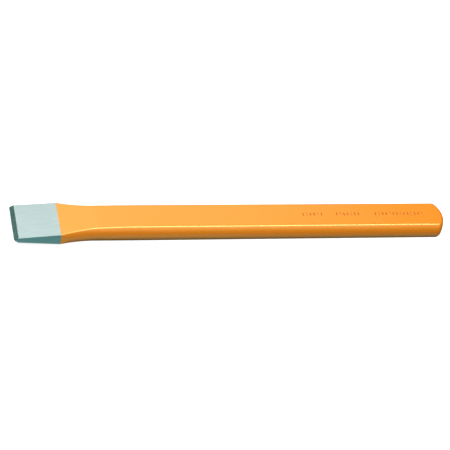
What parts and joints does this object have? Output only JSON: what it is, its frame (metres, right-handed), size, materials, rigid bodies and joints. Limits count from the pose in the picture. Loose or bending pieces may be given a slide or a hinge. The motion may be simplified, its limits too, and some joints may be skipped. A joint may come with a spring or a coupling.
{
  "type": "flat cold chisel",
  "caption": "Forged flat cold chisel with a flared, ground blade, a flat-oval shank and a crowned striking head, lacquered from behind the blade to the head.",
  "frame": {"origin": "under the middle of the chisel's length and width, on the plane that its lower broad face lies on", "axes": "+X from the cutting edge to the striking head, +Y across the width, +Z out of the marked broad face"},
  "size_m": [0.3, 0.0324, 0.013],
  "materials": {
    "tool_steel": "ground",
    "lacquer": "satin"
  },
  "bodies": {
    "root": {"steel_forging": "tool_steel", "lacquer_coat": "lacquer"}
  },
  "joints": []
}
